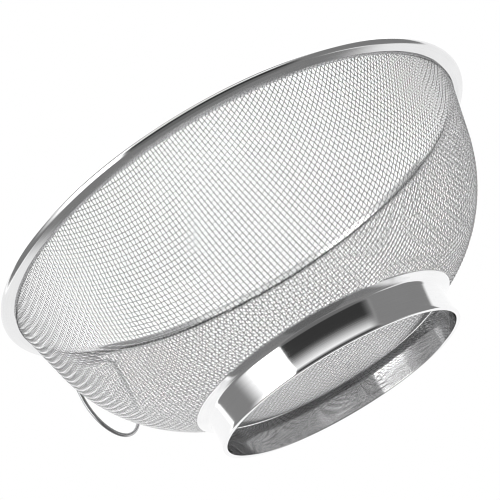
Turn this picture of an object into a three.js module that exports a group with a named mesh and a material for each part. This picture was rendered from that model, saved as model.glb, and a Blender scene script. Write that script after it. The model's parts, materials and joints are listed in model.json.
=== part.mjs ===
// Footed wire-mesh strainer bowl with a rolled rim and a swinging hanging loop.
// Millimetres, +Z up. The origin is the centre of the circle that the foot stands on.
import * as THREE from 'three';

// Driving dimensions of the whole bowl.
const TOTAL_HEIGHT = 98;
const RIM_RADIUS = 120;
const RING_SEGMENTS = 60;
const CLEARANCE = 0.3;

// The woven cloth: a flared wall, a long round haunch, a small corner and a flat base.
const CLOTH_THICKNESS = 0.9;
const CLOTH_TOP_RADIUS = 115;
const WALL_FLARE = THREE.MathUtils.degToRad(15);
const FLARE_DEPTH = 29.5;
const HAUNCH_RADIUS = 77.3;
const CORNER_START = THREE.MathUtils.degToRad(75);
const CORNER_RADIUS = 30;
const CLOTH_EDGE_DEPTH = 2;
const HAUNCH_STEPS = 12;
const CORNER_STEPS = 3;

// The rim: a strip folded over the cloth's edge and curled outward round a core wire.
const STRIP_THICKNESS = 0.5;
const CURL_RADIUS = 2;
const CURL_DROP = 0.35;
const CORE_WIRE_RADIUS = 1.2;
const STRIP_EDGE_DEPTH = 5.2;
const LIP_RADIUS = 116.2;
const LEG_DEPTH = 3.9;
const LEG_SHOULDER_DEPTH = 1.4;
const TOP_CORNER = 1;
const CURL_END = THREE.MathUtils.degToRad(-64);
const CURL_STEPS = 7;
const CORE_SIDES = 8;

// The foot: a spun ring with a flange that hugs the bowl and a hem folded in along its bottom edge.
const FOOT_RADIUS = 60.2;
const FOOT_WAIST_RADIUS = 59.5;
const FOOT_WAIST_HEIGHT = 8;
const FOOT_SHEET = 0.9;
const FOOT_HEM = 1.8;
const FOOT_HEM_HEIGHT = 4;
const FOOT_EDGE_RADIUS = 0.5;
const FLANGE_RADIUS = 63.8;
const FLANGE_START_RADIUS = 61;
const FLANGE_BEND_DROP = 1.8;
const FLANGE_FOLD = 1.8;
const FOOT_EDGE_STEPS = 2;
const INNER_RING_THICKNESS = 0.6;
const INNER_RING_RADII = [51, 61];

// The hanging loop and the clip that it swings in, on the bowl's +X side.
const LOOP_WIRE_RADIUS = 1;
const LOOP_HALF_WIDTH = 18;
const LOOP_DROP = 43;
const LOOP_LEG = 20;
const LOOP_SHOULDER_RADIUS = 4;
const LOOP_END_GAP = 0.6;
const LOOP_SIDES = 8;
const LOOP_STEPS = 60;
const PIVOT_X = 117.5;
const PIVOT_Z = 90.8;
const CLIP_WIDTH = 12;
const CLIP_SHEET = 0.8;
const CLIP_TOP_Z = 92.5;
const CLIP_OUTER_TOP_Z = 93.6;
const CLIP_BEND_SEGMENTS = 6;

const FULL_TURN = 2 * Math.PI;
const HALF_TURN = Math.PI;
const QUARTER_TURN = Math.PI / 2;

// The finish of each piece: all are stainless steel.
const CLOTH_FINISH = { color: 0xb9babb, roughness: 0.35 };
const RIM_FINISH = { color: 0xcfd0d2, roughness: 0.12 };
const CORE_WIRE_FINISH = { color: 0x9fa1a3, roughness: 0.4 };
const FOOT_FINISH = { color: 0xc4c5c7, roughness: 0.1 };
const INNER_RING_FINISH = { color: 0xaeb0b2, roughness: 0.25 };
const LOOP_FINISH = { color: 0xc9cacc, roughness: 0.15 };
const CLIP_FINISH = { color: 0xbdbec0, roughness: 0.2 };

function steel(finish) {
  return new THREE.MeshStandardMaterial({ ...finish, metalness: 1 });
}

function namedMesh(name, geometry, material) {
  const mesh = new THREE.Mesh(geometry, material);
  mesh.name = name;
  return mesh;
}

// A ring or bowl turned from an outline of (radius, height) points.
// The outline runs anticlockwise round the material, so the faces point out.
function turned(outline) {
  const geometry = new THREE.LatheGeometry(outline, RING_SEGMENTS);
  geometry.rotateX(QUARTER_TURN);
  return geometry;
}

function closedOutline(points) {
  return [...points, points[0].clone()];
}

// Points of an arc; angles are measured from the outward (+radius) direction.
function arcPoints(center, radius, from, to, steps) {
  const points = [];
  for (let i = 0; i <= steps; i++) {
    const angle = from + ((to - from) * i) / steps;
    points.push(
      new THREE.Vector2(center.x + radius * Math.cos(angle), center.y + radius * Math.sin(angle)),
    );
  }
  return points;
}

// The cloth's radius and height a given depth below the rim's top, on the flared part.
function flarePlace(depth) {
  return new THREE.Vector2(CLOTH_TOP_RADIUS - depth * Math.tan(WALL_FLARE), TOTAL_HEIGHT - depth);
}

// The outward normal of a wall that leans `lean` from the vertical.
function outwardNormal(lean) {
  return new THREE.Vector2(Math.cos(lean), -Math.sin(lean));
}

// The haunch is round about this centre and runs smoothly out of the flare.
const HAUNCH_CENTER = flarePlace(FLARE_DEPTH)
  .addScaledVector(outwardNormal(WALL_FLARE), -HAUNCH_RADIUS);

// The cloth's middle surface, as a place and an outward normal, for a wall that leans
// `lean` from the vertical: the flare's lean at the top, a quarter turn on the flat base.
function clothPlace(lean) {
  const normal = outwardNormal(lean);
  const place = HAUNCH_CENTER.clone();
  if (lean > CORNER_START) {
    place.addScaledVector(outwardNormal(CORNER_START), HAUNCH_RADIUS - CORNER_RADIUS);
    place.addScaledVector(normal, CORNER_RADIUS);
  } else {
    place.addScaledVector(normal, HAUNCH_RADIUS);
  }
  return { place, normal };
}

// The lean at which the haunch has a given radius.
function leanAtRadius(radius) {
  return Math.acos((radius - HAUNCH_CENTER.x) / HAUNCH_RADIUS);
}

// One side of the cloth, offset from its middle surface, from the axis up to its edge.
function clothSide(offset) {
  const leans = [];
  for (let i = 0; i <= CORNER_STEPS; i++) {
    leans.push(QUARTER_TURN + ((CORNER_START - QUARTER_TURN) * i) / CORNER_STEPS);
  }
  for (let i = 1; i <= HAUNCH_STEPS; i++) {
    leans.push(CORNER_START + ((WALL_FLARE - CORNER_START) * i) / HAUNCH_STEPS);
  }
  const side = leans.map((lean) => {
    const { place, normal } = clothPlace(lean);
    return place.addScaledVector(normal, offset);
  });
  side.push(flarePlace(CLOTH_EDGE_DEPTH).addScaledVector(outwardNormal(WALL_FLARE), offset));
  side.unshift(new THREE.Vector2(0, side[0].y));
  return side;
}

function meshBowl() {
  const outside = clothSide(CLOTH_THICKNESS / 2);
  const inside = clothSide(-CLOTH_THICKNESS / 2);
  const geometry = turned([...outside, ...inside.reverse()]);
  return namedMesh('mesh_bowl', geometry, steel(CLOTH_FINISH));
}

const CURL_CENTER = new THREE.Vector2(
  RIM_RADIUS - CURL_RADIUS,
  TOTAL_HEIGHT - CURL_DROP - CURL_RADIUS,
);

// The strip's section: an inner leg, a top that slopes out, the curl, and a flat lip that runs
// in under the curl to the cloth.
function rimBand() {
  const clothGap = CLOTH_THICKNESS / 2 + CLEARANCE;
  const lipEdge = flarePlace(STRIP_EDGE_DEPTH);
  const legEdge = flarePlace(LEG_DEPTH);
  const shoulder = flarePlace(LEG_SHOULDER_DEPTH);
  const lipInner = lipEdge.x + clothGap;
  const legOuter = -clothGap;
  const legInner = legOuter - STRIP_THICKNESS;
  const hollowTop = TOTAL_HEIGHT - STRIP_THICKNESS;
  const hollowRadius = CURL_RADIUS - STRIP_THICKNESS;
  const outline = [
    new THREE.Vector2(lipInner, lipEdge.y),
    new THREE.Vector2(LIP_RADIUS, lipEdge.y),
    ...arcPoints(CURL_CENTER, CURL_RADIUS, CURL_END, QUARTER_TURN, CURL_STEPS),
    new THREE.Vector2(shoulder.x + legInner + TOP_CORNER, TOTAL_HEIGHT),
    new THREE.Vector2(shoulder.x + legInner, shoulder.y),
    new THREE.Vector2(legEdge.x + legInner, legEdge.y),
    new THREE.Vector2(legEdge.x + legOuter, legEdge.y),
    new THREE.Vector2(shoulder.x + legOuter, shoulder.y),
    new THREE.Vector2(shoulder.x + legOuter + TOP_CORNER, hollowTop),
    ...arcPoints(CURL_CENTER, hollowRadius, QUARTER_TURN, CURL_END, CURL_STEPS),
    new THREE.Vector2(LIP_RADIUS, lipEdge.y + STRIP_THICKNESS),
    new THREE.Vector2(lipInner, lipEdge.y + STRIP_THICKNESS),
  ];
  return namedMesh('rim_band', turned(closedOutline(outline)), steel(RIM_FINISH));
}

function rimCoreWire() {
  const section = arcPoints(CURL_CENTER, CORE_WIRE_RADIUS, 0, FULL_TURN, CORE_SIDES);
  section[CORE_SIDES].copy(section[0]);
  return namedMesh('rim_core_wire', turned(section), steel(CORE_WIRE_FINISH));
}

// A point a given distance off the cloth's middle surface, where the cloth has this radius.
function besideCloth(radius, offset) {
  const { place, normal } = clothPlace(leanAtRadius(radius));
  return place.addScaledVector(normal, offset);
}

// The foot's section, from its flat bottom edge up the outside to the flange and back inside.
function footRing() {
  const clothGap = CLOTH_THICKNESS / 2 + CLEARANCE;
  const hemInner = FOOT_RADIUS - FOOT_HEM;
  const outerEdge = new THREE.Vector2(FOOT_RADIUS - FOOT_EDGE_RADIUS, FOOT_EDGE_RADIUS);
  const innerEdge = new THREE.Vector2(hemInner + FOOT_EDGE_RADIUS, FOOT_EDGE_RADIUS);
  const flangeTip = besideCloth(FLANGE_RADIUS, clothGap);
  const flangeStart = besideCloth(FLANGE_START_RADIUS, clothGap);
  const bendHeight = flangeStart.y - FLANGE_BEND_DROP;
  const neckRadius = (FOOT_RADIUS + FOOT_WAIST_RADIUS) / 2;
  const outline = [
    ...arcPoints(innerEdge, FOOT_EDGE_RADIUS, -HALF_TURN, -QUARTER_TURN, FOOT_EDGE_STEPS),
    ...arcPoints(outerEdge, FOOT_EDGE_RADIUS, -QUARTER_TURN, 0, FOOT_EDGE_STEPS),
    new THREE.Vector2(FOOT_WAIST_RADIUS, FOOT_WAIST_HEIGHT),
    new THREE.Vector2(neckRadius, bendHeight - FOOT_SHEET),
    new THREE.Vector2(FLANGE_START_RADIUS, bendHeight + FOOT_SHEET),
    new THREE.Vector2(flangeTip.x, flangeTip.y - FOOT_SHEET),
    flangeTip,
    flangeStart,
    new THREE.Vector2(FLANGE_START_RADIUS - FLANGE_FOLD, bendHeight + FOOT_SHEET),
    new THREE.Vector2(neckRadius - FOOT_SHEET, bendHeight - FOOT_SHEET),
    new THREE.Vector2(FOOT_WAIST_RADIUS - FOOT_SHEET, FOOT_WAIST_HEIGHT),
    new THREE.Vector2(FOOT_WAIST_RADIUS - FOOT_SHEET, FOOT_HEM_HEIGHT),
    new THREE.Vector2(hemInner, FOOT_HEM_HEIGHT),
  ];
  return namedMesh('foot_ring', turned(closedOutline(outline)), steel(FOOT_FINISH));
}

// The ring inside the bowl that pinches the cloth against the foot's flange.
function footInnerRing() {
  const [innerRadius, outerRadius] = INNER_RING_RADII;
  const near = -(CLOTH_THICKNESS / 2 + CLEARANCE);
  const far = near - INNER_RING_THICKNESS;
  const middleRadius = (innerRadius + outerRadius) / 2;
  const radii = [innerRadius, middleRadius, outerRadius];
  const under = radii.map((radius) => besideCloth(radius, near));
  const over = radii.map((radius) => besideCloth(radius, far)).reverse();
  const geometry = turned(closedOutline([...under, ...over]));
  return namedMesh('foot_inner_ring', geometry, steel(INNER_RING_FINISH));
}

// The loop's middle line in its own plane, y across and z down from the pivot. It starts
// and ends inside the clip, where the wire's two ends meet.
function loopPath() {
  const path = new THREE.CurvePath();
  const bar = LOOP_HALF_WIDTH - LOOP_SHOULDER_RADIUS;
  const point = (y, z) => new THREE.Vector3(0, y, z);
  const line = (a, b) => path.add(new THREE.LineCurve3(a, b));
  const bend = (a, corner, b) => path.add(new THREE.QuadraticBezierCurve3(a, corner, b));
  const legEnd = -LOOP_LEG;
  const roundness = (4 / 3) * (Math.SQRT2 - 1);
  const roundDepth = LOOP_DROP - LOOP_LEG;
  line(point(LOOP_END_GAP / 2, 0), point(bar, 0));
  bend(point(bar, 0), point(LOOP_HALF_WIDTH, 0), point(LOOP_HALF_WIDTH, -LOOP_SHOULDER_RADIUS));
  line(point(LOOP_HALF_WIDTH, -LOOP_SHOULDER_RADIUS), point(LOOP_HALF_WIDTH, legEnd));
  path.add(new THREE.CubicBezierCurve3(
    point(LOOP_HALF_WIDTH, legEnd),
    point(LOOP_HALF_WIDTH, legEnd - roundness * roundDepth),
    point(roundness * LOOP_HALF_WIDTH, -LOOP_DROP),
    point(0, -LOOP_DROP),
  ));
  path.add(new THREE.CubicBezierCurve3(
    point(0, -LOOP_DROP),
    point(-roundness * LOOP_HALF_WIDTH, -LOOP_DROP),
    point(-LOOP_HALF_WIDTH, legEnd - roundness * roundDepth),
    point(-LOOP_HALF_WIDTH, legEnd),
  ));
  line(point(-LOOP_HALF_WIDTH, legEnd), point(-LOOP_HALF_WIDTH, -LOOP_SHOULDER_RADIUS));
  bend(point(-LOOP_HALF_WIDTH, -LOOP_SHOULDER_RADIUS), point(-LOOP_HALF_WIDTH, 0), point(-bar, 0));
  line(point(-bar, 0), point(-LOOP_END_GAP / 2, 0));
  return path;
}

function wireSection(radius, sides) {
  const corners = [];
  for (let i = 0; i < sides; i++) {
    const angle = (FULL_TURN * (i + 0.5)) / sides;
    corners.push(new THREE.Vector2(radius * Math.cos(angle), radius * Math.sin(angle)));
  }
  return new THREE.Shape(corners);
}

function hangingLoop() {
  const geometry = new THREE.ExtrudeGeometry(wireSection(LOOP_WIRE_RADIUS, LOOP_SIDES), {
    steps: LOOP_STEPS,
    extrudePath: loopPath(),
    bevelEnabled: false,
  });
  const mesh = namedMesh('hanging_loop', geometry, steel(LOOP_FINISH));
  mesh.position.set(PIVOT_X, 0, PIVOT_Z);
  return mesh;
}

// A strap bent round the loop's bar. Its inner arm is welded under the rim's lip and its outer
// arm, which is longer, to the curl.
function loopClip() {
  const bore = LOOP_WIRE_RADIUS + CLEARANCE;
  const outer = bore + CLIP_SHEET;
  const armTop = CLIP_TOP_Z - PIVOT_Z;
  const outerArmTop = CLIP_OUTER_TOP_Z - PIVOT_Z;
  const outline = new THREE.Shape([
    new THREE.Vector2(outer, outerArmTop),
    new THREE.Vector2(bore, outerArmTop),
    ...arcPoints(new THREE.Vector2(0, 0), bore, 0, -HALF_TURN, CLIP_BEND_SEGMENTS),
    new THREE.Vector2(-bore, armTop),
    new THREE.Vector2(-outer, armTop),
    ...arcPoints(new THREE.Vector2(0, 0), outer, -HALF_TURN, 0, CLIP_BEND_SEGMENTS),
  ]);
  const geometry = new THREE.ExtrudeGeometry(outline, { depth: CLIP_WIDTH, bevelEnabled: false });
  geometry.rotateX(QUARTER_TURN);
  const mesh = namedMesh('loop_clip', geometry, steel(CLIP_FINISH));
  mesh.position.set(PIVOT_X, CLIP_WIDTH / 2, PIVOT_Z);
  return mesh;
}

const strainer = new THREE.Group();
strainer.add(
  meshBowl(),
  rimBand(),
  rimCoreWire(),
  footRing(),
  footInnerRing(),
  loopClip(),
  hangingLoop(),
);

export default strainer;
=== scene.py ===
import json
import math

import bmesh
import bpy
import numpy as np
from mathutils import Matrix, Vector


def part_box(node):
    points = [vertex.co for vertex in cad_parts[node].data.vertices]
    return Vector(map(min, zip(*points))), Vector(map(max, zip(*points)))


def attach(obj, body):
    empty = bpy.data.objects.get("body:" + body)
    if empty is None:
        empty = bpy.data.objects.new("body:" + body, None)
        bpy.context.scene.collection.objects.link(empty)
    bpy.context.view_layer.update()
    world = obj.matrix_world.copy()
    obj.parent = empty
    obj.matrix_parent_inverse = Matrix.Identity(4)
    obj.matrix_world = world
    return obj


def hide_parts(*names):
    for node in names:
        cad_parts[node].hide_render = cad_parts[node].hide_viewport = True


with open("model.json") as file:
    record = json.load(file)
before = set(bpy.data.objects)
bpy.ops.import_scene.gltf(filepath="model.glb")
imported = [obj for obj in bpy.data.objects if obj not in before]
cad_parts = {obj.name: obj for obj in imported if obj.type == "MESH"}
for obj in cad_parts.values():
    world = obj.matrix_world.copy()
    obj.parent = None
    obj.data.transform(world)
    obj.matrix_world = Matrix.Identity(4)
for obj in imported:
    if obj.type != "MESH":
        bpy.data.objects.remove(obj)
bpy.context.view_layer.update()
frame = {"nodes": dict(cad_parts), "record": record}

# Lengths are in millimetres until they become mesh vertices. The dimensions are the CAD's own.
MM = 0.001
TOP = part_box("rim_band")[1].z / MM
GAP = 0.3

# The bowl's wall: flared at the top, then a long round haunch, a small corner and a flat base.
CLOTH_TOP_RADIUS = 115.0
FLARE = math.radians(15)
FLARE_DEPTH = 29.5
HAUNCH_RADIUS = 77.3
CORNER_START = math.radians(75)
CORNER_RADIUS = 30.0
EDGE_DEPTH = 2.3
SKIN_HALF = 0.45

# The woven cloth: a square weave that opens where the cloth was drawn up into the wall.
WIRE_RADIUS = 0.185
WIRE_SIDES = 6
CRIMP = 0.3
FLAT_PITCH = 1.87
DRAWN_PITCH = 2.135
FLAT_REACH = 38.0
DRAWN_REACH = 85.0
WARP_TURN = math.radians(105.17)
PIECES_PER_FAMILY = 3
SHORTEST_HALF_WIRE = 3
END_STUB = 0.25

# The rim: a strip with a lip under the roll, the roll itself and an inner leg.
RIM_RADIUS = 120.0
RIM_SHEET = 0.5
LIP_DEPTH = 5.2
LIP_RADIUS = 116.2
LEG_DEPTH = 3.9
SHOULDER_DEPTH = 1.6
SHOULDER_RADIUS = 1.3
ROLL_RADIUS = 2.0
ROLL_DROP = 0.35
ROLL_CENTER = np.array([RIM_RADIUS - ROLL_RADIUS, TOP - ROLL_DROP - ROLL_RADIUS])
ROLL_LEAN = math.radians(64)
ROLL_END = math.radians(86)
ROLL_STEPS = 20
SHOULDER_START = math.radians(88)
SHOULDER_END = math.radians(165)
SHOULDER_STEPS = 6

# The foot: a waisted ring with a flange along the bowl, and the ring that clamps the cloth to it.
FOOT_RADIUS = 60.2
FOOT_WAIST = 59.5
FOOT_WAIST_Z = 8.5
FOOT_SHEET = 0.8
FOOT_EDGE_RADIUS = 0.6
FOOT_BEND_Z = 13.9
FOOT_INNER = 58.0
FOOT_INNER_LEAN = 0.75
FOOT_INNER_TOP_Z = 13.6
FLANGE_RADIUS = 63.8
FLANGE_START = 61.0
BEND_SHARE = 0.45
BEND_OFFSET = np.array([-0.22, 0.12])
CLAMP_RING_RADII = (51.0, 61.0)
CLAMP_RING_SHEET = 0.6

# The hanging loop and the strap that it turns in.
LOOP_JOINT = frame["record"]["behaviour"]["joints"][0]
PIVOT = (LOOP_JOINT["pos_m"][0] / MM, LOOP_JOINT["pos_m"][2] / MM)
LOOP_HALF_WIDTH = 18.0
LOOP_DROP = 43.0
LOOP_LEG = 20.0
LOOP_SHOULDER = 4.0
LOOP_WIRE = 1.0
LOOP_SIDES = 20
LOOP_END_HALF_GAP = 0.3
BAR_POINTS = 6
LOOP_SHOULDER_POINTS = 10
LEG_POINTS = 8
BOTTOM_POINTS = 49
CLIP_WIDTH = 12.0
CLIP_SHEET = 0.8
CLIP_EDGE = 0.15
CLIP_TOP = 92.5
CLIP_OUTER_TOP = 93.6
CLIP_BEND_STEPS = 16

# How finely the turned pieces and the cloth's meridian are divided.
SEGMENTS = 288
BASE_POINTS = 30
CORNER_POINTS = 24
HAUNCH_POINTS = 120
FLARE_POINTS = 20
DENSITY_POINTS = 400
SHEET_END_POINTS = 7
FOOT_EDGE_STEPS = 6


# ---------------------------------------------------------------- the bowl's shape

def wall_normal(lean):
    """The outward normal, as (radius, z), of a wall that leans that far from the vertical."""
    return np.array([math.cos(lean), -math.sin(lean)])


FLARE_NORMAL = wall_normal(FLARE)


def on_flare(depth):
    return np.array([CLOTH_TOP_RADIUS - depth * math.tan(FLARE), TOP - depth])


HAUNCH_CENTER = on_flare(FLARE_DEPTH) - HAUNCH_RADIUS * FLARE_NORMAL
CORNER_CENTER = HAUNCH_CENTER + (HAUNCH_RADIUS - CORNER_RADIUS) * wall_normal(CORNER_START)


def on_haunch(lean):
    return HAUNCH_CENTER + HAUNCH_RADIUS * wall_normal(lean)


def beside_cloth(radius, offset):
    """A place beside the haunch, where the haunch has this radius."""
    lean = math.acos((radius - HAUNCH_CENTER[0]) / HAUNCH_RADIUS)
    return on_haunch(lean) + offset * wall_normal(lean)


def meridian():
    """The cloth's middle line from the axis to its edge: length along it, place and normal."""
    corner_x, corner_z = CORNER_CENTER
    base_z = corner_z - CORNER_RADIUS
    places = [np.array([corner_x * t, base_z]) for t in np.linspace(0, 1, BASE_POINTS)]
    normals = [np.array([0.0, -1.0])] * len(places)
    for lean in np.linspace(math.pi / 2, CORNER_START, CORNER_POINTS)[1:]:
        places.append(CORNER_CENTER + CORNER_RADIUS * wall_normal(lean))
        normals.append(wall_normal(lean))
    for lean in np.linspace(CORNER_START, FLARE, HAUNCH_POINTS)[1:]:
        places.append(on_haunch(lean))
        normals.append(wall_normal(lean))
    for depth in np.linspace(FLARE_DEPTH, EDGE_DEPTH, FLARE_POINTS)[1:]:
        places.append(on_flare(depth))
        normals.append(FLARE_NORMAL)
    places, normals = np.array(places), np.array(normals)
    along = np.r_[0, np.cumsum(np.hypot(*np.diff(places, axis=0).T))]
    return along, places, normals


def wires_out(length):
    """How many wires lie between the middle of the cloth and each step along the meridian."""
    steps = np.linspace(0, length, DENSITY_POINTS)
    drawn = np.clip((steps - FLAT_REACH) / (DRAWN_REACH - FLAT_REACH), 0, 1)
    density = 1 / FLAT_PITCH + (1 / DRAWN_PITCH - 1 / FLAT_PITCH) * drawn
    return np.r_[0, np.cumsum((density[1:] + density[:-1]) / 2 * np.diff(steps))], steps


# ---------------------------------------------------------------- mesh building

def linked(name, me, material):
    me.materials.append(material)
    ob = bpy.data.objects.new(name, me)
    bpy.context.scene.collection.objects.link(ob)
    return ob


def quad_mesh(name, verts, faces):
    me = bpy.data.meshes.new(name)
    verts = np.asarray(verts, np.float32)
    faces = np.asarray(faces, np.int32)
    me.vertices.add(len(verts))
    me.vertices.foreach_set("co", (verts * MM).ravel())
    me.loops.add(faces.size)
    me.loops.foreach_set("vertex_index", faces.ravel())
    me.polygons.add(len(faces))
    me.polygons.foreach_set("loop_start", np.arange(0, faces.size, 4, dtype=np.int32))
    me.update(calc_edges=True)
    me.validate()
    me.shade_smooth()
    return me


def arc(center, radius, start, end, steps):
    center = np.array(center)
    angles = np.linspace(start, end, steps + 1)
    return [center + radius * np.array([math.cos(a), math.sin(a)]) for a in angles]


def turned(name, outline, material, sharp):
    """A ring turned from a closed outline of (radius, z), anticlockwise round the material."""
    outline = np.asarray(outline, float)
    n = len(outline)
    angle = np.arange(SEGMENTS) * 2 * math.pi / SEGMENTS
    verts = np.stack([
        np.outer(np.cos(angle), outline[:, 0]),
        np.outer(np.sin(angle), outline[:, 0]),
        np.outer(np.ones(SEGMENTS), outline[:, 1]),
    ], axis=-1).reshape(-1, 3)
    i, j = np.meshgrid(np.arange(SEGMENTS), np.arange(n), indexing="ij")
    a = i * n + j
    b = i * n + (j + 1) % n
    c = ((i + 1) % SEGMENTS) * n + (j + 1) % n
    d = ((i + 1) % SEGMENTS) * n + j
    me = quad_mesh(name, verts, np.stack([a, d, c, b], axis=-1).reshape(-1, 4))
    me.set_sharp_from_angle(angle=math.radians(sharp))
    return linked(name, me, material)


def sheet_outline(path, thickness):
    """The closed outline of a sheet: an open line of (radius, z), thickened to its left, round at its ends."""
    path = np.asarray(path, float)
    tangent = directions(path)
    left = np.stack([-tangent[:, 1], tangent[:, 0]], axis=1)
    far = path + left * thickness

    def round_end(edge, inward, outward):
        center = edge + inward * thickness / 2
        angles = np.linspace(0, math.pi, SHEET_END_POINTS)[1:-1]
        return [center + thickness / 2 * (outward * math.sin(a) - inward * math.cos(a)) for a in angles]

    end = round_end(path[-1], left[-1], tangent[-1])
    start = round_end(far[0], -left[0], -tangent[0])
    return np.vstack([path, end, far[::-1], start])


def directions(path):
    tangent = np.gradient(path, axis=0)
    return tangent / np.linalg.norm(tangent, axis=1)[:, None]


def ringed(path, side, other, radius, sides):
    """A ring of vertices round each point of a path, in the plane of its two side directions."""
    angle = np.arange(sides) * 2 * math.pi / sides
    cosine, sine = np.cos(angle)[None, :, None], np.sin(angle)[None, :, None]
    ring = cosine * side[:, None, :] + sine * other[:, None, :]
    return (path[:, None, :] + radius * ring).reshape(-1, 3)


def ring_quads(rings, sides):
    """Four corners of each face of a tube: two along one ring and two along the next."""
    i, j = np.meshgrid(np.arange(rings - 1), np.arange(sides), indexing="ij")
    a = i * sides + j
    b = i * sides + (j + 1) % sides
    return a, b, b + sides, a + sides


def wire(name, path, radius, material, sides):
    """A round wire along an open path, with flat ends."""
    tangent = directions(path)
    across = np.array([1.0, 0, 0])
    side = across - (tangent @ across)[:, None] * tangent
    side /= np.linalg.norm(side, axis=1)[:, None]
    other = np.cross(tangent, side)
    verts = ringed(path, side, other, radius, sides)
    last = (len(path) - 1) * sides
    faces = np.stack(ring_quads(len(path), sides), axis=-1).reshape(-1, 4).tolist()
    faces.append(list(range(sides))[::-1])
    faces.append([last + k for k in range(sides)])
    me = bpy.data.meshes.new(name)
    me.from_pydata((verts * MM).tolist(), [], faces)
    me.update()
    me.shade_smooth()
    me.set_sharp_from_angle(angle=math.radians(60))
    return linked(name, me, material)


# ---------------------------------------------------------------- materials

# Noise scales are per metre. The noise's middle range is spread over each tone or roughness range.
STREAK_TURNS = 3.0
GRAIN_DETAIL = 4.0
CLOUD_SCALE = 60.0
CLOUD_DETAIL = 3.0
MIXED_RANGE = (0.35, 0.65)
TONE_RANGE = (0.3, 0.7)
DULL_SHARE = 0.93
GRAIN_HEIGHT = 0.00005
WIRE_CLOUD_SCALE = 220.0
WIRE_CLOUD_DETAIL = 2.0
WIRE_CLOUD_RANGE = (0.3, 0.7)


def math_node(nt, operation, a, b=None):
    n = nt.nodes.new("ShaderNodeMath")
    n.operation = operation
    for k, x in enumerate((a, b)):
        if isinstance(x, (int, float)):
            n.inputs[k].default_value = x
        elif x is not None:
            nt.links.new(x, n.inputs[k])
    return n.outputs[0]


def combined(nt, x=None, y=None, z=None):
    n = nt.nodes.new("ShaderNodeCombineXYZ")
    for k, value in enumerate((x, y, z)):
        if value is not None:
            nt.links.new(value, n.inputs[k])
    return n.outputs[0]


def noise(nt, place, scale, detail):
    n = nt.nodes.new("ShaderNodeTexNoise")
    n.inputs["Scale"].default_value = scale
    n.inputs["Detail"].default_value = detail
    nt.links.new(place, n.inputs["Vector"])
    return n.outputs[0]


def mapped(nt, value, value_range, middle, spread):
    n = nt.nodes.new("ShaderNodeMapRange")
    n.inputs["From Min"].default_value, n.inputs["From Max"].default_value = value_range
    n.inputs["To Min"].default_value = middle - spread
    n.inputs["To Max"].default_value = middle + spread
    nt.links.new(value, n.inputs["Value"])
    return n.outputs[0]


def metal(name):
    mat = bpy.data.materials.new(name)
    mat.use_nodes = True
    nt = mat.node_tree
    bsdf = nt.nodes["Principled BSDF"]
    bsdf.inputs["Metallic"].default_value = 1.0
    place = nt.nodes.new("ShaderNodeTexCoord").outputs["Object"]
    return mat, nt, bsdf, place


def steel(name, shade, roughness, spread, streaks, bump):
    """Polished or drawn steel: streaks run round the axis, and the roughness and tone vary a little."""
    mat, nt, bsdf, place = metal(name)
    split = nt.nodes.new("ShaderNodeSeparateXYZ")
    nt.links.new(place, split.inputs[0])
    x, y, z = split.outputs
    length = nt.nodes.new("ShaderNodeVectorMath")
    length.operation = "LENGTH"
    nt.links.new(combined(nt, x, y), length.inputs[0])
    rolled = combined(
        nt,
        math_node(nt, "MULTIPLY", length.outputs["Value"], streaks),
        math_node(nt, "MULTIPLY", z, streaks),
        math_node(nt, "MULTIPLY", math_node(nt, "ARCTAN2", y, x), STREAK_TURNS),
    )
    grain = noise(nt, rolled, 1.0, GRAIN_DETAIL)
    cloud = noise(nt, place, CLOUD_SCALE, CLOUD_DETAIL)
    half_grain = math_node(nt, "MULTIPLY", grain, 0.5)
    half_cloud = math_node(nt, "MULTIPLY", cloud, 0.5)
    mixed = math_node(nt, "ADD", half_grain, half_cloud)
    rough = mapped(nt, mixed, MIXED_RANGE, roughness, spread)
    nt.links.new(rough, bsdf.inputs["Roughness"])
    tone = nt.nodes.new("ShaderNodeValToRGB")
    dull, clean = tone.color_ramp.elements
    dull.position, clean.position = TONE_RANGE
    dull.color = (*(c * DULL_SHARE for c in shade), 1)
    clean.color = (*shade, 1)
    nt.links.new(mixed, tone.inputs[0])
    nt.links.new(tone.outputs[0], bsdf.inputs["Base Color"])
    raised = nt.nodes.new("ShaderNodeBump")
    raised.inputs["Strength"].default_value = bump
    raised.inputs["Distance"].default_value = GRAIN_HEIGHT
    nt.links.new(grain, raised.inputs["Height"])
    nt.links.new(raised.outputs[0], bsdf.inputs["Normal"])
    return mat


def wire_steel(name, shade, roughness, spread):
    """Drawn wire of the cloth: its roughness varies from place to place; its colour is even."""
    mat, nt, bsdf, place = metal(name)
    bsdf.inputs["Base Color"].default_value = (*shade, 1)
    cloud = noise(nt, place, WIRE_CLOUD_SCALE, WIRE_CLOUD_DETAIL)
    rough = mapped(nt, cloud, WIRE_CLOUD_RANGE, roughness, spread)
    nt.links.new(rough, bsdf.inputs["Roughness"])
    return mat


CLOTH = wire_steel("cloth_wire", (0.68, 0.68, 0.684), roughness=0.12, spread=0.06)
RIM = steel("rim_polish", (0.8, 0.8, 0.804), roughness=0.13, spread=0.05, streaks=2600, bump=0.3)
FOOT = steel("foot_polish", (0.9, 0.9, 0.904), roughness=0.07, spread=0.03, streaks=2600, bump=0.08)
HIDDEN = steel("plain_steel", (0.5, 0.5, 0.505), roughness=0.3, spread=0.06, streaks=1800, bump=0.2)
LOOP = steel("loop_wire", (0.52, 0.52, 0.525), roughness=0.16, spread=0.05, streaks=900, bump=0.15)


def place_piece(piece, body, node):
    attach(piece, body)
    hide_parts(node)


# ---------------------------------------------------------------- the woven cloth

def crease_rings(me):
    """Each stretch between two crossings is shaded as it lies, with a crease where the wire bends."""
    ends = np.empty(len(me.edges) * 2, np.int32)
    me.edges.foreach_get("vertices", ends)
    rings = ends.reshape(-1, 2) // WIRE_SIDES
    creased = me.attributes.new("sharp_edge", "BOOLEAN", "EDGE")
    creased.data.foreach_set("value", rings[:, 0] == rings[:, 1])


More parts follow.
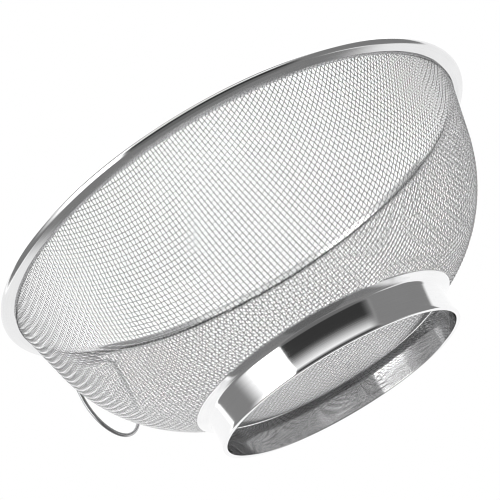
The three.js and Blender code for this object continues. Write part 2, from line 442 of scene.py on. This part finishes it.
def wire_paths(along_first, first_sign):
    """Every wire of one direction: its middle line, bent at each crossing, and the cloth's outward normal.

    Places across the cloth are counted in wires from its middle; the wires lie at the half counts.
    """
    along, places, normals = meridian()
    counts, steps = wires_out(along[-1])
    reach = counts[-1]
    most = int(reach - 0.5)
    for i in range(-most - 1, most + 1):
        across = i + 0.5
        half = math.sqrt(max(reach ** 2 - across ** 2, 0))
        if half < SHORTEST_HALF_WIRE:
            continue
        last = math.floor(half - 0.5 - END_STUB) + 0.5
        along_wire = np.r_[-half, np.arange(-last, last + 0.5), half]
        wires_from_middle = np.minimum(np.hypot(along_wire, across), reach)
        turn = np.arctan2(across, along_wire) if along_first else np.arctan2(along_wire, across)
        azimuth = WARP_TURN + turn
        s = np.interp(wires_from_middle, counts, steps)
        r, z = (np.interp(s, along, places[:, k]) for k in (0, 1))
        nr, nz = (np.interp(s, along, normals[:, k]) for k in (0, 1))
        out = np.stack([nr * np.cos(azimuth), nr * np.sin(azimuth), nz], axis=1)
        wave = np.cos(math.pi * (along_wire - 0.5)) * (1 if i % 2 == 0 else -1) * first_sign
        middle = np.stack([r * np.cos(azimuth), r * np.sin(azimuth), z], axis=1)
        yield middle + (CRIMP * wave)[:, None] * out, out


def woven_wire(path, out):
    """Vertices and faces of one wire of the cloth, with its flat sides turned to the cloth's normal."""
    tangent = directions(path)
    side = np.cross(tangent, out)
    side /= np.linalg.norm(side, axis=1)[:, None]
    up = np.cross(side, tangent)
    verts = ringed(path, side, up, WIRE_RADIUS, WIRE_SIDES)
    a, b, c, d = ring_quads(len(path), WIRE_SIDES)
    body = np.stack([a, d, c, b], axis=-1).reshape(-1, 4)
    end_halves = np.array([[0, 1, 2, 3], [0, 3, 4, 5]])
    far_halves = end_halves[:, ::-1] + (len(path) - 1) * WIRE_SIDES
    return verts, np.vstack([body, end_halves, far_halves])


def wire_family(name, along_first, first_sign):
    """The wires of one direction, split into pieces. Each goes over and under the ones it crosses."""
    wires = list(wire_paths(along_first, first_sign))
    share = sum(len(path) for path, _ in wires) / PIECES_PER_FAMILY
    pieces, verts, faces, offset, used = [], [], [], 0, 0
    for number, (path, out) in enumerate(wires, start=1):
        wire_verts, wire_faces = woven_wire(path, out)
        verts.append(wire_verts)
        faces.append(wire_faces + offset)
        offset += len(wire_verts)
        used += len(path)
        if used >= share * (len(pieces) + 1) - 1 or number == len(wires):
            piece_name = f"{name}_{len(pieces) + 1}"
            me = quad_mesh(piece_name, np.vstack(verts), np.vstack(faces))
            crease_rings(me)
            pieces.append(linked(piece_name, me, CLOTH))
            verts, faces, offset = [], [], 0
    return pieces


for piece in wire_family("cloth_warp", True, 1) + wire_family("cloth_weft", False, -1):
    place_piece(piece, "strainer", "mesh_bowl")


# ---------------------------------------------------------------- the rim

def rim_path():
    """The strip's outside: from the lip at the cloth, up round the roll, over and down the inner leg."""
    gap = SKIN_HALF + GAP
    lip = on_flare(LIP_DEPTH) + np.array([gap, 0])
    edge = np.array([LIP_RADIUS, lip[1]])
    roll_start = ROLL_CENTER + ROLL_RADIUS * wall_normal(ROLL_LEAN)
    path = [lip, (lip + edge) / 2, edge]
    path += [edge + (roll_start - edge) * t for t in (0.12, 0.5)]
    path += arc(ROLL_CENTER, ROLL_RADIUS, -ROLL_LEAN, ROLL_END, ROLL_STEPS)
    leg = on_flare(LEG_DEPTH) - np.array([gap + RIM_SHEET, 0])
    shoulder = on_flare(SHOULDER_DEPTH) - np.array([gap + RIM_SHEET, 0])
    shoulder_center = (shoulder[0] + SHOULDER_RADIUS, TOP - SHOULDER_RADIUS)
    path += arc(shoulder_center, SHOULDER_RADIUS, SHOULDER_START, SHOULDER_END, SHOULDER_STEPS)
    path += [shoulder + (leg - shoulder) * t for t in (0.35, 0.7, 1.0)]
    return path


rim = turned("rim_roll", sheet_outline(rim_path(), RIM_SHEET), RIM, sharp=35)
place_piece(rim, "strainer", "rim_band")


# ---------------------------------------------------------------- the foot

def foot_outside(z):
    """The outside's radius at a height: narrowest at the waist."""
    spread = ((z - FOOT_WAIST_Z) / (FOOT_WAIST_Z - FOOT_EDGE_RADIUS)) ** 2
    return FOOT_WAIST + (FOOT_RADIUS - FOOT_WAIST) * spread


def foot_outline():
    """Up the waisted outside, out under the flange, back over it, and down the inside to the bottom."""
    gap = SKIN_HALF + GAP
    half_turn = math.pi
    edge = FOOT_EDGE_RADIUS
    outside = [(foot_outside(z), z) for z in np.linspace(edge, FOOT_BEND_Z, 11)]
    start = beside_cloth(FLANGE_START, gap + FOOT_SHEET)
    bend = np.array(outside[-1]) * (1 - BEND_SHARE) + start * BEND_SHARE + BEND_OFFSET
    under = [beside_cloth(r, gap + FOOT_SHEET) for r in np.linspace(FLANGE_START, FLANGE_RADIUS, 5)]
    over = [beside_cloth(r, gap) for r in np.linspace(FLANGE_RADIUS, FOOT_INNER + FOOT_INNER_LEAN, 9)]
    lean = FOOT_INNER_LEAN / FOOT_INNER_TOP_Z
    inside = [(FOOT_INNER + lean * z, z) for z in np.linspace(FOOT_INNER_TOP_Z, edge, 8)]
    bottom = arc((FOOT_INNER + edge, edge), edge, half_turn, 1.5 * half_turn, FOOT_EDGE_STEPS)
    bottom += arc((FOOT_RADIUS - edge, edge), edge, 1.5 * half_turn, 2 * half_turn, FOOT_EDGE_STEPS)[:-1]
    return np.array(outside + [bend] + under + over + inside + bottom[1:])


foot = turned("foot_spun", foot_outline(), FOOT, sharp=50)
place_piece(foot, "strainer", "foot_ring")

clamp_path = [beside_cloth(r, -(SKIN_HALF + GAP)) for r in np.linspace(*CLAMP_RING_RADII, 9)]
clamp_ring = turned("foot_clamp_ring", sheet_outline(clamp_path, CLAMP_RING_SHEET), HIDDEN, sharp=50)
place_piece(clamp_ring, "strainer", "foot_inner_ring")

frame["nodes"]["rim_core_wire"].data.materials[0] = HIDDEN


# ---------------------------------------------------------------- the loop and its clip

def loop_path():
    """From one end of the wire inside the clip, round the loop and back to the other end."""
    bar = LOOP_HALF_WIDTH - LOOP_SHOULDER
    half = [(y, 0) for y in np.linspace(LOOP_END_HALF_GAP, bar, BAR_POINTS)]
    for a in np.linspace(0, math.pi / 2, LOOP_SHOULDER_POINTS)[1:]:
        half.append((bar + LOOP_SHOULDER * math.sin(a), LOOP_SHOULDER * (1 - math.cos(a))))
    half += [(LOOP_HALF_WIDTH, down) for down in np.linspace(LOOP_SHOULDER, LOOP_LEG, LEG_POINTS)[1:]]
    bottom = []
    for a in np.linspace(0, math.pi, BOTTOM_POINTS)[1:]:
        bottom.append((LOOP_HALF_WIDTH * math.cos(a), LOOP_LEG + (LOOP_DROP - LOOP_LEG) * math.sin(a)))
    other_half = [(-y, down) for y, down in half[::-1]]
    x, z = PIVOT
    return np.array([(x, y, z - down) for y, down in half + bottom + other_half[1:]])


loop = wire("loop_wire", loop_path(), LOOP_WIRE, LOOP, LOOP_SIDES)
place_piece(loop, "loop", "hanging_loop")


def clip():
    """A strap bent round the loop's bar, open at the top, with its outer arm the taller."""
    bore = LOOP_WIRE + GAP
    x, z = PIVOT
    arm_middle = (CLIP_TOP + z) / 2
    path = [(x - bore, CLIP_TOP), (x - bore, arm_middle)]
    path += arc(PIVOT, bore, math.pi, 2 * math.pi, CLIP_BEND_STEPS)
    path += [(x + bore, arm_middle), (x + bore, CLIP_OUTER_TOP)]
    outline = sheet_outline(path[::-1], CLIP_SHEET)
    half = CLIP_WIDTH / 2
    n = len(outline)
    sections = [-half, -half + CLIP_EDGE, half - CLIP_EDGE, half]
    verts = [(r * MM, y * MM, height * MM) for y in sections for r, height in outline]
    faces = []
    for k in range(len(sections) - 1):
        for j in range(n):
            a, b = k * n + j, k * n + (j + 1) % n
            faces.append((a, b, b + n, a + n))
    faces.append(tuple(range(n))[::-1])
    faces.append(tuple((len(sections) - 1) * n + j for j in range(n)))
    me = bpy.data.meshes.new("loop_strap")
    me.from_pydata(verts, [], faces)
    me.update()
    bm = bmesh.new()
    bm.from_mesh(me)
    bmesh.ops.recalc_face_normals(bm, faces=bm.faces)
    bmesh.ops.triangulate(bm, faces=[f for f in bm.faces if len(f.verts) > 4])
    bm.to_mesh(me)
    bm.free()
    me.shade_smooth()
    me.set_sharp_from_angle(angle=math.radians(40))
    return linked("loop_strap", me, LOOP)


place_piece(clip(), "strainer", "loop_clip")


# ---------------------------------------------------------------- floor, light and camera

# The floor is in metres.
FLOOR_HALF_SIZE = 3.0
FLOOR_Z = -0.0002
FLOOR_SHADE = (0.93, 0.93, 0.93, 1)
FLOOR_ROUGHNESS = 0.9
BACKDROP = 1.0
STUDIO_WHITE = 1.4

# Cards that only reflections see: azimuth from and to in degrees, each with the softness of its
# edge, then the same for elevation, and the card's tone. A later card covers an earlier one.
CARDS = [
    ((234, 8, 370, 4), (-100, 1, 34, 8), 1.04),
    ((20, 10, 198, 10), (47, 4, 74, 8), 0.4),
    ((6, 1.5, 48, 14), (-55, 6, 40, 8), 0.24),
    ((38, 12, 203, 12), (-100, 1, -34, 14), 0.12),
    ((-20, 1, 380, 1), (-100, 1, -46, 6), 0.24),
    ((56, 3, 90, 1.5), (-22, 8, 46, 5), 3.0),
    ((90, 1.5, 174, 3), (-80, 8, 28, 12), 0.04),
    ((88, 1.5, 176, 3), (-100, 1, -16, 6), 0.16),
    ((170, 6, 238, 3), (-40, 8, 45, 8), 0.24),
]


def make_floor():
    """Pale paper under the foot. It is clear from below, and reflections and shadow rays pass it by."""
    side = FLOOR_HALF_SIZE
    corners = [(-side, -side, 0), (side, -side, 0), (side, side, 0), (-side, side, 0)]
    me = bpy.data.meshes.new("floor")
    me.from_pydata(corners, [], [(0, 1, 2, 3)])
    mat = bpy.data.materials.new("floor_paper")
    mat.use_nodes = True
    nt = mat.node_tree
    paper = nt.nodes["Principled BSDF"]
    paper.inputs["Base Color"].default_value = FLOOR_SHADE
    paper.inputs["Roughness"].default_value = FLOOR_ROUGHNESS
    mix = nt.nodes.new("ShaderNodeMixShader")
    clear = nt.nodes.new("ShaderNodeBsdfTransparent")
    geometry = nt.nodes.new("ShaderNodeNewGeometry")
    nt.links.new(geometry.outputs["Backfacing"], mix.inputs[0])
    nt.links.new(paper.outputs[0], mix.inputs[1])
    nt.links.new(clear.outputs[0], mix.inputs[2])
    nt.links.new(mix.outputs[0], nt.nodes["Material Output"].inputs[0])
    floor = linked("floor", me, mat)
    floor.location.z = FLOOR_Z
    floor.visible_diffuse = False
    floor.visible_glossy = False
    floor.visible_transmission = False
    floor.visible_shadow = False


def studio_world():
    """A white backdrop for the camera, and a white studio with cards for the light and the reflections."""
    world = bpy.data.worlds.new("studio")
    bpy.context.scene.world = world
    world.use_nodes = True
    nt = world.node_tree
    split = nt.nodes.new("ShaderNodeSeparateXYZ")
    nt.links.new(nt.nodes.new("ShaderNodeTexCoord").outputs["Generated"], split.inputs[0])
    x, y, z = split.outputs
    degrees = math_node(nt, "MULTIPLY", math_node(nt, "ARCTAN2", y, x), 180 / math.pi)
    azimuth = math_node(nt, "FLOORED_MODULO", degrees, 360.0)
    elevation = math_node(nt, "MULTIPLY", math_node(nt, "ARCSINE", z), 180 / math.pi)

    def rise(value, at, soft):
        n = nt.nodes.new("ShaderNodeMapRange")
        n.interpolation_type = "SMOOTHSTEP"
        n.inputs["From Min"].default_value = at - soft
        n.inputs["From Max"].default_value = at + soft
        nt.links.new(value, n.inputs["Value"])
        return n.outputs[0]

    def band(value, low, low_soft, high, high_soft):
        below_top = math_node(nt, "SUBTRACT", 1.0, rise(value, high, high_soft))
        return math_node(nt, "MULTIPLY", rise(value, low, low_soft), below_top)

    tone = STUDIO_WHITE
    for turned_part, raised_part, value in CARDS:
        cover = math_node(nt, "MULTIPLY", band(azimuth, *turned_part), band(elevation, *raised_part))
        kept = math_node(nt, "MULTIPLY", math_node(nt, "SUBTRACT", 1.0, cover), tone)
        tone = math_node(nt, "ADD", kept, math_node(nt, "MULTIPLY", cover, value))
    seen = nt.nodes.new("ShaderNodeLightPath").outputs["Is Camera Ray"]
    unseen = math_node(nt, "MULTIPLY", math_node(nt, "SUBTRACT", 1.0, seen), tone)
    total = math_node(nt, "ADD", unseen, math_node(nt, "MULTIPLY", seen, BACKDROP))
    grey = nt.nodes.new("ShaderNodeCombineColor")
    for k in range(3):
        nt.links.new(total, grey.inputs[k])
    background = nt.nodes["Background"]
    nt.links.new(grey.outputs[0], background.inputs["Color"])
    background.inputs["Strength"].default_value = 1.0


def make_camera():
    """The camera looks up at the bowl from below its rim, rolled well over."""
    location = (-0.2937, 0.5376, -0.1455)
    forward = Vector((0.4570, -0.8211, 0.3418)).normalized()
    right = Vector((-0.6653, -0.5707, -0.4814))
    right = (right - forward * right.dot(forward)).normalized()
    up = right.cross(forward)
    camera = bpy.data.cameras.new("camera")
    camera.sensor_width = 36
    camera.lens = 102.1
    camera.clip_start = 0.01
    ob = bpy.data.objects.new("camera", camera)
    bpy.context.scene.collection.objects.link(ob)
    turn = Matrix((right, up, -forward)).transposed().to_4x4()
    ob.matrix_world = Matrix.Translation(location) @ turn
    bpy.context.scene.camera = ob


make_floor()
studio_world()
make_camera()
bpy.context.scene.view_settings.view_transform = "Standard"
bpy.context.scene.cycles.filter_width = 1.0
